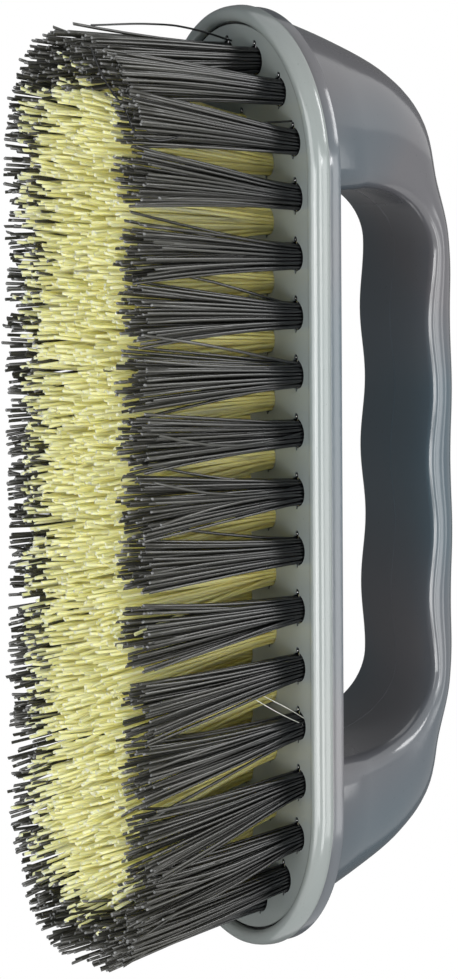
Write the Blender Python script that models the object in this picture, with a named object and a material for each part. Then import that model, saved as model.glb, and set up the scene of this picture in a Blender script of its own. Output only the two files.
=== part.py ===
"""Hand scrub brush: a stadium-shaped tuft block under a moulded handle body with a closed D grip.

The brush stands on its bristle tips at Z = 0. X runs along the brush, Y across it, Z up to the grip.
All lengths are in metres.
"""

import math

import bmesh
import bpy
from mathutils import Vector

# Overall size
BRUSH_LENGTH = 0.153  # over the lip of the block
BRUSH_WIDTH = 0.0496
TUFT_LENGTH = 0.0312  # from the face of the block to the standing plane
FIT_GAP = 0.0003  # between pieces that touch
OVERRUN = 0.002  # how far a cutter runs past what it cuts

# Tuft block
LIP_WIDTH = 0.0028
LIP_PROUD = 0.0011  # the crest of the lip stands this far below the face
LIP_CREST_SHARES = (0.16, 0.34, 0.58, 0.80, 0.94)  # of the lip's width, from its inner wall out
LIP_DEPTH_SHARES = (0.62, 0.97, 1.0, 0.68, 0.18)  # of the lip's proud height, at those places
JOINT_HEIGHT = 0.0017  # the fine joint line above the face
CORE_EDGE = 0.0006  # the core of the block is this much narrower than the face
CORE_CHAMFER_RUN = 0.0030
CORE_CHAMFER_RISE = 0.0018
HOLE_RADIUS = 0.00233
HOLE_DEPTH = 0.0042
HOLE_FLOOR = 0.0019  # solid core behind the holes
HOLE_SIDES = 12

# Tufts
RING_INSET = 0.0078  # the dark ring, in from the outside of the lip
ROW_SPACING = 0.0079  # between the yellow rows
SIDE_TUFTS = 11  # dark tufts along one straight side
SIDE_SLACK_SHARE = 0.9  # of one pitch, left over at the ends of a straight side
END_TUFTS = 6  # dark tufts round one end
OUTER_ROW_TUFTS = 12  # yellow tufts in each of the two outer rows
CENTRE_ROW_TUFTS = 13
STRANDS = 7
STRAND_INSET_SHARE = 0.138  # of the tuft's radius, between a strand's root and its sector's edge
ROOT_PROUD = 0.0004  # the bound root shows this far below the face
FAN_SHARE = 0.443  # of the closest spacing, out from the middle of a tuft to its ring of tips
END_SPLAYS = (0.0056, 0.0074)  # lean of the tufts near the -X and +X ends, at their tips
SPLAY_POWER = 1.3  # how slowly that lean sets in from the middle of the brush
TIP_SETBACKS = (0.0064, 0.0042)  # from each end to the middle of the last tips, at the least
SIDE_SPLAY = 0.0010  # lean of the outer tufts across the brush, at their tips

# Flange and deck of the handle body
FLANGE_SETBACK = 0.0005  # the edge of the flange stands this far inside the lip
FLANGE_HEIGHT = 0.0023
FLANGE_ROUND = 0.0006
DECK_WALL = 0.0015  # over the flat of the core
DECK_SHOULDER = 0.0100  # width of the slope from the flange to the flat of the deck
SHOULDER_REACH_SHARES = (0.62, 0.30)  # of the slope's width, out from the flat of the deck
SHOULDER_RISE_SHARES = (0.47, 0.81)  # of the slope's height, at those places
ROUND_BULGE_SHARE = 0.3  # how far a rounded edge's middle point lies in from its sharp corner
END_STEPS = 18  # facets of one round end

# D grip, heights above the face
GRIP_CLEARANCE = 0.0280  # mean height of the finger side
GRIP_TOP = 0.0357
GRIP_HALF_WIDTH = 0.0113
FOOT_SIDE_SETBACK = 0.0031  # the feet stand this far inside the sides of the flange
FOOT_END_SETBACK = 0.0024  # and this far inside its ends, with the grip at the middle
OPENING_LENGTH = 0.0910
OPENING_STRAIGHT = 0.0120  # top of the straight end walls of the opening
OPENING_CORNER = 0.0116  # reach of its rounded corners along the brush
FINGER_DEPTH = 0.0009  # crest to groove
FINGERS = 3  # crests on the finger side
HANDLE_SHIFT = 0.0018  # the whole grip sits this far towards -X
FINGER_EDGE_ROUND = 0.0014
FINGER_CROWN = 0.0004  # the finger side stands proud along its middle
FOOT_EDGE_ROUND = 0.0046
# From the middle of the grip round to the foot, at even steps: how far out the back of the handle
# is (1 at the foot), how far it stands above the foot (1 on the grip), the half width (0 on the
# grip, 1 at the foot), and the part of the section's depth that its straight side walls take.
BACK_REACH_SHARES = (0.0, 0.083, 0.165, 0.248, 0.333, 0.429, 0.536, 0.658, 0.776, 0.863, 0.936, 1.0)
BACK_HEIGHT_SHARES = (1.0, 1.0, 1.0, 1.0, 1.0, 0.995, 0.957, 0.882, 0.827, 0.640, 0.338, 0.0)
WIDTH_SHARES = (0.0, 0.0, 0.0, 0.0, 0.0, 0.01, 0.04, 0.10, 0.22, 0.40, 0.66, 1.0)
SIDE_SHARES = (0.12, 0.12, 0.12, 0.12, 0.12, 0.12, 0.12, 0.13, 0.14, 0.15, 0.16, 0.165)
DOME_STEPS = 7
CORNER_STEPS = 9
WAVE_STEPS = 8  # stations in one finger wave

FACE_Z = TUFT_LENGTH
OUTER_RADIUS = BRUSH_WIDTH / 2
HALF_STRAIGHT = BRUSH_LENGTH / 2 - OUTER_RADIUS
FLANGE_RADIUS = OUTER_RADIUS - FLANGE_SETBACK
FACE_RADIUS = OUTER_RADIUS - LIP_WIDTH
CORE_RADIUS = FACE_RADIUS - CORE_EDGE
CORE_HEIGHT = HOLE_DEPTH + HOLE_FLOOR
CORE_SIDE_HEIGHT = CORE_HEIGHT - CORE_CHAMFER_RISE
RING_RADIUS = OUTER_RADIUS - RING_INSET
TUFT_PITCH = 2 * HALF_STRAIGHT / (SIDE_TUFTS - 1 + SIDE_SLACK_SHARE)
TUFT_RADIUS = HOLE_RADIUS - FIT_GAP
FAN_RADIUS = FAN_SHARE * min(TUFT_PITCH, ROW_SPACING)
FLANGE_BOTTOM = JOINT_HEIGHT + FIT_GAP
FLANGE_TOP = FLANGE_BOTTOM + FLANGE_HEIGHT
DECK_HEIGHT = CORE_HEIGHT + FIT_GAP + DECK_WALL
FOOT_DEPTH = (FLANGE_BOTTOM + FLANGE_TOP) / 2
FOOT_HALF_WIDTH = FLANGE_RADIUS - FOOT_SIDE_SETBACK
FINGER_PITCH = (OPENING_LENGTH - 2 * OPENING_CORNER) / FINGERS
SMOOTH_ANGLE = math.radians(35)

BLOCK_GREY = (0.30, 0.33, 0.31, 1.0)
HANDLE_GREY = (0.20, 0.20, 0.215, 1.0)
BRISTLE_DARK = (0.035, 0.035, 0.040, 1.0)
BRISTLE_YELLOW = (0.80, 0.70, 0.30, 1.0)


def clear_scene():
    for old in list(bpy.data.objects):
        bpy.data.objects.remove(old, do_unlink=True)


def new_collection(name):
    collection = bpy.data.collections.new(name)
    bpy.context.scene.collection.children.link(collection)
    return collection


def new_material(name, colour, roughness, metallic=0.0):
    material = bpy.data.materials.new(name)
    material.use_nodes = True
    shader = material.node_tree.nodes["Principled BSDF"]
    shader.inputs["Base Color"].default_value = colour
    shader.inputs["Roughness"].default_value = roughness
    shader.inputs["Metallic"].default_value = metallic
    material.diffuse_color = colour
    return material


def object_from(bm, name, collection, material=None):
    bmesh.ops.recalc_face_normals(bm, faces=bm.faces)
    mesh = bpy.data.meshes.new(name)
    bm.to_mesh(mesh)
    bm.free()
    mesh.shade_smooth()
    mesh.set_sharp_from_angle(angle=SMOOTH_ANGLE)
    part = bpy.data.objects.new(name, mesh)
    collection.objects.link(part)
    if material is not None:
        mesh.materials.append(material)
    return part


def as_cutter(part):
    part.hide_render = True
    part.display_type = "WIRE"
    return part


def add_boolean(part, tool, operation):
    modifier = part.modifiers.new(operation.title(), "BOOLEAN")
    modifier.operation = operation
    modifier.solver = "EXACT"
    modifier.object = tool


def stadium_solid(profile):
    """A solid whose side is the profile, (radius, height) pairs, run round a stadium outline.

    The profile is spun round one end, drawn along the side, spun round the other end and drawn back.
    Its first and last points are the edges of the two flat ends.
    """
    bm = bmesh.new()
    points = [bm.verts.new((-HALF_STRAIGHT, radius, height)) for radius, height in profile]
    edges = [bm.edges.new(pair) for pair in zip(points, points[1:])]
    leading = points + edges
    for end in (-1, 1):
        turned = bmesh.ops.spin(
            bm, geom=leading, cent=(end * HALF_STRAIGHT, 0, 0), axis=(0, 0, 1),
            angle=math.pi, steps=END_STEPS,
        )
        drawn = bmesh.ops.extrude_edge_only(
            bm, edges=[item for item in turned["geom_last"] if isinstance(item, bmesh.types.BMEdge)]
        )
        points = [item for item in drawn["geom"] if isinstance(item, bmesh.types.BMVert)]
        edges = [
            item for item in drawn["geom"]
            if isinstance(item, bmesh.types.BMEdge) and set(item.verts) <= set(points)
        ]
        leading = points + edges
        bmesh.ops.translate(bm, vec=(-end * 2 * HALF_STRAIGHT, 0, 0), verts=points)
    bmesh.ops.remove_doubles(bm, verts=bm.verts, dist=FIT_GAP / 10)
    rims = [edge for edge in bm.edges if edge.is_boundary]
    bmesh.ops.holes_fill(bm, edges=rims, sides=0)
    return bm


def stadium_point(radius, distance):
    """The point this far along a stadium outline, from the middle of its -Y side towards +X."""
    arc = math.pi * radius
    lap = 4 * HALF_STRAIGHT + 2 * arc
    distance %= lap
    if distance <= HALF_STRAIGHT:
        return distance, -radius
    distance -= HALF_STRAIGHT
    if distance <= arc:
        angle = distance / radius
        return HALF_STRAIGHT + radius * math.sin(angle), -radius * math.cos(angle)
    distance -= arc
    if distance <= 2 * HALF_STRAIGHT:
        return HALF_STRAIGHT - distance, radius
    distance -= 2 * HALF_STRAIGHT
    if distance <= arc:
        angle = distance / radius
        return -HALF_STRAIGHT - radius * math.sin(angle), radius * math.cos(angle)
    return distance - arc - HALF_STRAIGHT, -radius


def dark_places():
    """The roots of the dark ring, along the near side first and then on round the ring."""
    side = TUFT_PITCH * (SIDE_TUFTS - 1)
    half_lap = 2 * HALF_STRAIGHT + math.pi * RING_RADIUS
    end_pitch = (half_lap - side) / (END_TUFTS + 1)
    distances = []
    for half in (0, 1):
        start = half * half_lap - side / 2
        distances += [start + TUFT_PITCH * i for i in range(SIDE_TUFTS)]
        distances += [start + side + end_pitch * (i + 1) for i in range(END_TUFTS)]
    return [stadium_point(RING_RADIUS, distance) for distance in distances]


def row_places(count, y):
    return [(TUFT_PITCH * (i - (count - 1) / 2), y) for i in range(count)]


def tip_of(x, y):
    """Where the middle of a tuft rooted here stands at its tips."""
    end = x > 0
    lean = END_SPLAYS[end] * min(abs(x) / HALF_STRAIGHT, 1) ** SPLAY_POWER
    tip_x = min(abs(x) + lean, BRUSH_LENGTH / 2 - TIP_SETBACKS[end])
    lean_y = SIDE_SPLAY * math.sin(math.pi / 2 * y / RING_RADIUS)
    return math.copysign(tip_x, x), y + lean_y


def add_tuft(bm, x, y):
    """A bound root, and below it its strands, each drawn out of one sector of the root's end."""
    root_top = FACE_Z + HOLE_DEPTH - FIT_GAP
    root_end = FACE_Z - ROOT_PROUD
    made = bmesh.ops.create_cone(
        bm, segments=STRANDS, radius1=TUFT_RADIUS, radius2=TUFT_RADIUS, depth=root_top - root_end,
        cap_ends=True, cap_tris=True,
    )
    bmesh.ops.translate(bm, verts=made["verts"], vec=(x, y, (root_top + root_end) / 2))
    bm.normal_update()
    bm.faces.index_update()
    ends = {face for vert in made["verts"] for face in vert.link_faces if face.normal.z < -0.9}
    sectors = sorted(ends, key=lambda face: face.index)
    bmesh.ops.inset_individual(
        bm, faces=sectors, thickness=TUFT_RADIUS * STRAND_INSET_SHARE, use_even_offset=True
    )
    strands = bmesh.ops.extrude_discrete_faces(bm, faces=sectors)["faces"]
    tip_x, tip_y = tip_of(x, y)
    for strand in strands:
        centre = strand.calc_center_median()
        outward = Vector((centre.x - x, centre.y - y, 0)).normalized()
        tip = Vector((tip_x, tip_y, 0)) + outward * FAN_RADIUS
        for vert in strand.verts:
            vert.co = tip + (vert.co - centre)


def tuft(name, place, collection, material):
    bm = bmesh.new()
    add_tuft(bm, *place)
    return object_from(bm, name, collection, material)


def block_profile():
    """From the edge of the recessed face, over the lip, up to the joint and round the core."""
    crest = [
        (FACE_RADIUS + LIP_WIDTH * across, FACE_Z - LIP_PROUD * depth)
        for across, depth in zip(LIP_CREST_SHARES, LIP_DEPTH_SHARES)
    ]
    return [
        (FACE_RADIUS, FACE_Z),
        *crest,
        (OUTER_RADIUS, FACE_Z + LIP_PROUD * LIP_DEPTH_SHARES[-1]),
        (OUTER_RADIUS, FACE_Z + JOINT_HEIGHT),
        (CORE_RADIUS, FACE_Z + JOINT_HEIGHT),
        (CORE_RADIUS, FACE_Z + CORE_SIDE_HEIGHT),
        (CORE_RADIUS - CORE_CHAMFER_RUN, FACE_Z + CORE_HEIGHT),
    ]


def tuft_block(collection, cutters, material, row_material, hole_places, fused_places):
    """The lower moulding, its blind holes, and the tufts of the middle row, which it carries."""
    block = object_from(stadium_solid(block_profile()), "tuft_block", collection, material)
    block.data.materials.append(row_material)

    bm = bmesh.new()
    bottom = FACE_Z - OVERRUN
    top = FACE_Z + HOLE_DEPTH
    for x, y in hole_places:
        made = bmesh.ops.create_cone(
            bm, segments=HOLE_SIDES, radius1=HOLE_RADIUS, radius2=HOLE_RADIUS, depth=top - bottom,
            cap_ends=True,
        )
        bmesh.ops.translate(bm, verts=made["verts"], vec=(x, y, (top + bottom) / 2))
    holes = as_cutter(object_from(bm, "tuft_holes", cutters))
    add_boolean(block, holes, "DIFFERENCE")

    bm = bmesh.new()
    for x, y in fused_places:
        add_tuft(bm, x, y)
    middle_row = as_cutter(object_from(bm, "middle_row", cutters, row_material))
    add_boolean(block, middle_row, "UNION")
    block.modifiers[-1].material_mode = "TRANSFER"
    return block


def deck_profile():
    """From the underside of the flange, round its edge, up the slope of the deck."""
    side = FACE_Z + FLANGE_TOP
    flat_radius = FLANGE_RADIUS - DECK_SHOULDER
    top = FACE_Z + DECK_HEIGHT
    bulge = FLANGE_ROUND * ROUND_BULGE_SHARE
    slope = [
        (flat_radius + DECK_SHOULDER * reach, side + (top - side) * rise)
        for reach, rise in zip(SHOULDER_REACH_SHARES, SHOULDER_RISE_SHARES)
    ]
    return [
        (FLANGE_RADIUS - LIP_WIDTH, FACE_Z + FLANGE_BOTTOM),
        (FLANGE_RADIUS, FACE_Z + FLANGE_BOTTOM),
        (FLANGE_RADIUS, side - FLANGE_ROUND),
        (FLANGE_RADIUS - bulge, side - bulge),
        (FLANGE_RADIUS - FLANGE_ROUND, side),
        *slope,
        (flat_radius, top),
    ]


def pocket_profile():
    """The hollow of the handle body that takes the core of the block."""
    radius = CORE_RADIUS + FIT_GAP
    return [
        (radius, FACE_Z + JOINT_HEIGHT - OVERRUN),
        (radius, FACE_Z + CORE_SIDE_HEIGHT + FIT_GAP),
        (radius - CORE_CHAMFER_RUN, FACE_Z + CORE_HEIGHT + FIT_GAP),
    ]


def spread(shares, place):
    """The value at this place, from 0 to 1, of a row of evenly spaced shares, smoothly joined."""
    last = len(shares) - 1
    i = min(int(place * last), last - 1)
    part = place * last - i
    before, a, b, after = (shares[min(max(k, 0), last)] for k in (i - 1, i, i + 1, i + 2))
    return 0.5 * (
        2 * a + (b - before) * part
        + (2 * before - 5 * a + 4 * b - after) * part**2
        + (3 * a - before - 3 * b + after) * part**3
    )


def finger_side():
    """The finger side of one half of the loop, from the middle of the grip down to the deck."""
    crest_end = FINGER_PITCH * FINGERS / 2
    top = GRIP_CLEARANCE + FINGER_DEPTH / 2
    points = []
    steps = WAVE_STEPS * FINGERS // 2
    for i in range(steps):
        x = crest_end * i / steps
        points.append((x, GRIP_CLEARANCE - FINGER_DEPTH / 2 * math.cos(math.tau * x / FINGER_PITCH)))
    for i in range(CORNER_STEPS + 1):
        angle = math.pi / 2 * i / CORNER_STEPS
        points.append((
            crest_end + OPENING_CORNER * math.sin(angle),
            OPENING_STRAIGHT + (top - OPENING_STRAIGHT) * math.cos(angle),
        ))
    points.append((OPENING_LENGTH / 2, (OPENING_STRAIGHT + FOOT_DEPTH) / 2))
    points.append((OPENING_LENGTH / 2, FOOT_DEPTH))
    return points


def loop_section(bm, inner, outer, half_width, edge_round, side_share):
    """One closed ring round the handle: crowned finger side, rounded edges, walls, domed back."""
    depth = (outer - inner).length
    away = (outer - inner) / depth
    eased = edge_round * (1 - math.cos(math.pi / 4))
    wall = FINGER_CROWN + edge_round
    dome = wall + (depth - wall) * side_share
    half = [
        (FINGER_CROWN, half_width - edge_round),
        (FINGER_CROWN + eased, half_width - eased),
        (wall, half_width),
    ]
    last_angle = math.pi / 2 * (DOME_STEPS - 1) / DOME_STEPS
    for i in range(DOME_STEPS):
        angle = last_angle * i / (DOME_STEPS - 1)
        rise = math.sin(angle) / math.sin(last_angle)
        half.append((dome + (depth - dome) * rise, half_width * math.cos(angle)))
    ring = [(0, 0)] + half + [(along, -across) for along, across in reversed(half)]
    verts = []
    for along, across in ring:
        place = inner + away * along
        verts.append(bm.verts.new((place.x, across, place.z)))
    return verts


def grip_loop():
    """The D grip as a loft of rings, from the foot at -X over the grip to the foot at +X."""
    bm = bmesh.new()
    finger_half = finger_side()
    last = len(finger_half) - 1
    foot_reach = HALF_STRAIGHT + FLANGE_RADIUS - FOOT_END_SETBACK
    rise = GRIP_TOP - FOOT_DEPTH
    rings = []
    for i in range(-last, last + 1):
        side = -1 if i < 0 else 1
        place = abs(i) / last
        x_in, z_in = finger_half[abs(i)]
        x_out = foot_reach * spread(BACK_REACH_SHARES, place)
        z_out = FOOT_DEPTH + rise * spread(BACK_HEIGHT_SHARES, place)
        foot_share = spread(WIDTH_SHARES, place)
        rings.append(loop_section(
            bm,
            Vector((side * x_in - HANDLE_SHIFT, 0, FACE_Z + z_in)),
            Vector((side * x_out - HANDLE_SHIFT, 0, FACE_Z + z_out)),
            GRIP_HALF_WIDTH + (FOOT_HALF_WIDTH - GRIP_HALF_WIDTH) * foot_share,
            FINGER_EDGE_ROUND + (FOOT_EDGE_ROUND - FINGER_EDGE_ROUND) * foot_share,
            spread(SIDE_SHARES, place),
        ))
    for ring, following in zip(rings, rings[1:]):
        for j in range(len(ring)):
            k = (j + 1) % len(ring)
            bm.faces.new((ring[j], ring[k], following[k], following[j]))
    bm.faces.new(rings[0])
    bm.faces.new(rings[-1])
    return bm


def handle_body(collection, cutters, material):
    """The upper moulding: flange and deck, the D grip that rises from it, and the hollow below."""
    handle = object_from(stadium_solid(deck_profile()), "handle_body", collection, material)
    loop = as_cutter(object_from(grip_loop(), "grip_loop", cutters, material))
    add_boolean(handle, loop, "UNION")
    pocket = as_cutter(object_from(stadium_solid(pocket_profile()), "core_pocket", cutters))
    add_boolean(handle, pocket, "DIFFERENCE")
    return handle


def build():
    clear_scene()
    parts = new_collection("scrub_brush")
    cutters = new_collection("cutters")
    block_grey = new_material("block_grey", BLOCK_GREY, 0.45)
    handle_grey = new_material("handle_grey", HANDLE_GREY, 0.30)
    dark = new_material("bristle_dark", BRISTLE_DARK, 0.40)
    yellow = new_material("bristle_yellow", BRISTLE_YELLOW, 0.55)

    ring = dark_places()
    rows = row_places(OUTER_ROW_TUFTS, -ROW_SPACING) + row_places(OUTER_ROW_TUFTS, ROW_SPACING)
    middle_row = row_places(CENTRE_ROW_TUFTS, 0)
    tuft_block(parts, cutters, block_grey, yellow, ring + rows, middle_row)
    handle_body(parts, cutters, handle_grey)
    for i, place in enumerate(ring):
        tuft(f"dark_tuft_{i + 1:02d}", place, parts, dark)
    for i, place in enumerate(rows):
        tuft(f"yellow_tuft_{i + 1:02d}", place, parts, yellow)


build()
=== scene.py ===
"""The looks of a hand scrub brush: a grey tuft block and handle, dark and yellow tufts, on a pale stage.

Laid out as an add-on: each operator makes one piece or one group of like pieces in the frame of the
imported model. X runs along the brush, Y across it, Z up to the grip. All lengths are in metres.
"""

import math

import bmesh
import bpy
import numpy as np
from bpy.props import FloatProperty, FloatVectorProperty, IntProperty, PointerProperty
from mathutils import Matrix, Vector


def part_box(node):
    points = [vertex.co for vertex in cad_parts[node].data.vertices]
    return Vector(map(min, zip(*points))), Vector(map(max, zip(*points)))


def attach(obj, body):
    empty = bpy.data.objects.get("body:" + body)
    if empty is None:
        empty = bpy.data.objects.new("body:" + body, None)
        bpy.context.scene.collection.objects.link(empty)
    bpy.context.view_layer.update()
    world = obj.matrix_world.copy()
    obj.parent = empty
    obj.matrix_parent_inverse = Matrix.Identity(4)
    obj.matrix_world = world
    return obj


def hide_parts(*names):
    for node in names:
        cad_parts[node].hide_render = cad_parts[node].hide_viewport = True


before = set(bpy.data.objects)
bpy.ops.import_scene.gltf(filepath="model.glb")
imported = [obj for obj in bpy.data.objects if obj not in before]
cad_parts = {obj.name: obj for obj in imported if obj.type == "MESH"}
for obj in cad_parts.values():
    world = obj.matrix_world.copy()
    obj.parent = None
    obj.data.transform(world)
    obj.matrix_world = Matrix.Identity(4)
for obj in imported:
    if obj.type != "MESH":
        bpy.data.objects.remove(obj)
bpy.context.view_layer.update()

bl_info = {
    "name": "Scrub Brush",
    "version": (1, 0, 0),
    "blender": (4, 5, 0),
    "location": "View3D > Sidebar > Brush",
    "description": "Adds a moulded hand scrub brush with dark and yellow tufts",
    "category": "Add Mesh",
}

BODY = "root"

# What the frame fixes
HANDLE_LOW, HANDLE_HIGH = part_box("handle_body")
BLOCK_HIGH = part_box("tuft_block")[1]
LIP_RADIUS = BLOCK_HIGH.y
FLANGE_RADIUS = HANDLE_HIGH.y
HALF_LENGTH = HANDLE_HIGH.x
HALF_STRAIGHT = HALF_LENGTH - FLANGE_RADIUS
CORE_TOP = BLOCK_HIGH.z
FLANGE_UNDERSIDE = HANDLE_LOW.z
FIT_GAP = 0.0003

STADIUM_SIDES = 128
SMOOTH_ANGLE = math.radians(35)
LEVEL = 0.9  # a face whose normal rises or falls by more than this counts as level

# What the settings of one kind have in common
LENGTH = {"unit": "LENGTH", "precision": 5}
COLOUR = {"subtype": "COLOR", "size": 3, "min": 0, "max": 1}


class BlockSettings(bpy.types.PropertyGroup):
    """The moulded block that carries the tufts."""

    face_height: FloatProperty(
        name="Face height", description="The face of the block above the tips",
        default=0.0312, **LENGTH,
    )
    hole_radius: FloatProperty(
        name="Hole radius", description="Radius of the hole that one tuft is driven into",
        default=0.00233, **LENGTH,
    )
    hole_depth: FloatProperty(
        name="Hole depth", description="Depth of that hole",
        default=0.0042, **LENGTH,
    )
    colour: FloatVectorProperty(
        name="Colour", description="Plastic of the block",
        default=(0.280, 0.302, 0.286), **COLOUR,
    )
    cool_colour: FloatVectorProperty(
        name="Cool colour", description="Cooler patches of the same plastic",
        default=(0.250, 0.283, 0.274), **COLOUR,
    )


class HandleSettings(bpy.types.PropertyGroup):
    """The moulded body with its flange and D grip."""

    half_width: FloatProperty(
        name="Grip half width", description="Half the width of the grip",
        default=0.0113, **LENGTH,
    )
    opening_length: FloatProperty(
        name="Opening length", description="Length of the opening for the fingers",
        default=0.0910, **LENGTH,
    )
    finger_depth: FloatProperty(
        name="Finger depth", description="From a crest to a groove on the finger side",
        default=0.0009, **LENGTH,
    )
    colour: FloatVectorProperty(
        name="Colour", description="Plastic of the handle",
        default=(0.134, 0.130, 0.138), **COLOUR,
    )
    cool_colour: FloatVectorProperty(
        name="Cool colour", description="Cooler patches of the same plastic",
        default=(0.086, 0.118, 0.140), **COLOUR,
    )


class TuftSettings(bpy.types.PropertyGroup):
    """The filaments of the tufts."""

    dark_radius: FloatProperty(
        name="Dark strand radius", description="Radius of one dark filament",
        default=0.00027, **LENGTH,
    )
    yellow_radius: FloatProperty(
        name="Yellow strand radius", description="Radius of one yellow filament",
        default=0.00031, **LENGTH,
    )
    strand_pitch: FloatProperty(
        name="Strand pitch", description="Spacing of the filaments where they are packed in a hole",
        default=0.00052, **LENGTH,
    )
    dark_fan: FloatProperty(
        name="Dark fan", description="Radius of a dark tuft at its tips",
        default=0.0045, **LENGTH,
    )
    yellow_fan: FloatProperty(
        name="Yellow fan", description="Radius of a yellow tuft at its tips",
        default=0.0057, **LENGTH,
    )
    dark_lean: FloatProperty(
        name="Dark lean", description="How far the tips of the dark tufts lean out on the +Y side",
        default=0.0010, **LENGTH,
    )
    dark_spread: FloatProperty(
        name="Dark spread", description="How much wider the dark tufts of the +Y side fan out",
        default=0.36, subtype="FACTOR",
    )
    yellow_lean: FloatProperty(
        name="Yellow lean", description="How far the tips of the last yellow row lean to the +Y side",
        default=0.0045, **LENGTH,
    )
    raggedness: FloatProperty(
        name="Raggedness", description="How much shorter than the longest the filaments are cut",
        default=0.0006, **LENGTH,
    )
    seed: IntProperty(name="Seed", description="Start of the random draws", default=11)
    # The root colours are painted shade: the filaments are drawn darker where they pack close at the
    # hole
    dark_root: FloatVectorProperty(
        name="Dark root", description="Dark filament near its hole",
        default=(0.011, 0.012, 0.013), **COLOUR,
    )
    dark_tip: FloatVectorProperty(
        name="Dark tip", description="Dark filament near its tip",
        default=(0.053, 0.052, 0.043), **COLOUR,
    )
    yellow_root: FloatVectorProperty(
        name="Yellow root", description="Yellow filament near its hole",
        default=(0.82, 0.71, 0.26), **COLOUR,
    )
    yellow_tip: FloatVectorProperty(
        name="Yellow tip", description="Yellow filament near its tip",
        default=(0.98, 0.92, 0.455), **COLOUR,
    )


class StageSettings(bpy.types.PropertyGroup):
    """Floor, lamps and camera."""

    ambient: FloatVectorProperty(
        name="Ambient", description="Light from all round",
        default=(0.200, 0.226, 0.248), **COLOUR,
    )
    lamp_share: FloatProperty(
        name="Lamp share", description="Scales the power of every lamp", default=1.0,
    )
    lens: FloatProperty(
        name="Lens", description="Focal length in millimetres",
        default=346.54, subtype="DISTANCE_CAMERA",
    )


def deselect_all():
    if bpy.context.mode != "OBJECT":
        bpy.ops.object.mode_set(mode="OBJECT")
    bpy.ops.object.select_all(action="DESELECT")


def make_active(obj):
    deselect_all()
    obj.select_set(True)
    bpy.context.view_layer.objects.active = obj


def edit(obj):
    make_active(obj)
    bpy.ops.object.mode_set(mode="EDIT")
    bpy.ops.mesh.select_mode(type="FACE")


def pick(kind, test):
    """In edit mode, selects just the verts, edges or faces that pass the test."""
    bpy.ops.mesh.select_mode(type=kind)
    bpy.ops.mesh.select_all(action="DESELECT")
    mesh = bpy.context.edit_object.data
    bm = bmesh.from_edit_mesh(mesh)
    for item in {"VERT": bm.verts, "EDGE": bm.edges, "FACE": bm.faces}[kind]:
        if test(item):
            item.select_set(True)
    bm.select_flush_mode()
    bmesh.update_edit_mesh(mesh)


def faces_down(face):
    return face.normal.z < -LEVEL


def faces_up(face):
    return face.normal.z > LEVEL


def is_broad(face):
    """Whether a face spans most of a stadium shape."""
    return face.calc_area() > FLANGE_RADIUS * HALF_STRAIGHT


def height_of(edge):
    return abs(edge.verts[0].co.z - edge.verts[1].co.z)


def apply_modifier(obj, modifier):
    make_active(obj)
    bpy.ops.object.modifier_apply(modifier=modifier.name)


def settle(obj):
    """Moves an object's place, turn and scale into its mesh."""
    make_active(obj)
    bpy.ops.object.transform_apply(location=True, rotation=True, scale=True)
    return obj


def copies_joined(original, places, name):
    """One object that holds a copy of the original's mesh at each place. The original goes."""
    copies = []
    for place in places:
        twin = original.copy()
        twin.data = original.data.copy()
        twin.data.transform(Matrix.Translation(place))
        bpy.context.scene.collection.objects.link(twin)
        copies.append(twin)
    bpy.data.objects.remove(original, do_unlink=True)
    deselect_all()
    for twin in copies:
        twin.select_set(True)
    bpy.context.view_layer.objects.active = copies[0]
    bpy.ops.object.join()
    copies[0].name = name
    return copies[0]


def cut(obj, tool, operation="DIFFERENCE"):
    """Cuts the tool from the object, or joins the two. The tool goes."""
    faces = len(obj.data.polygons)
    modifier = obj.modifiers.new("Cut", "BOOLEAN")
    modifier.operation = operation
    modifier.solver = "EXACT"
    modifier.object = tool
    apply_modifier(obj, modifier)
    bpy.data.objects.remove(tool, do_unlink=True)
    if len(obj.data.polygons) < faces:
        raise RuntimeError(f"{obj.name}: the cut lost part of the shape")


def smooth(obj):
    make_active(obj)
    bpy.ops.object.shade_smooth_by_angle(angle=SMOOTH_ANGLE)


def finish_piece(obj, name, material, nodes=()):
    """Names a piece, gives it its finish, rides it on the body and hides the solids it stands for."""
    obj.name = name
    obj.data.name = name
    obj.data.materials.clear()
    obj.data.materials.append(material)
    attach(obj, BODY)
    if nodes:
        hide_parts(*nodes)


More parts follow.
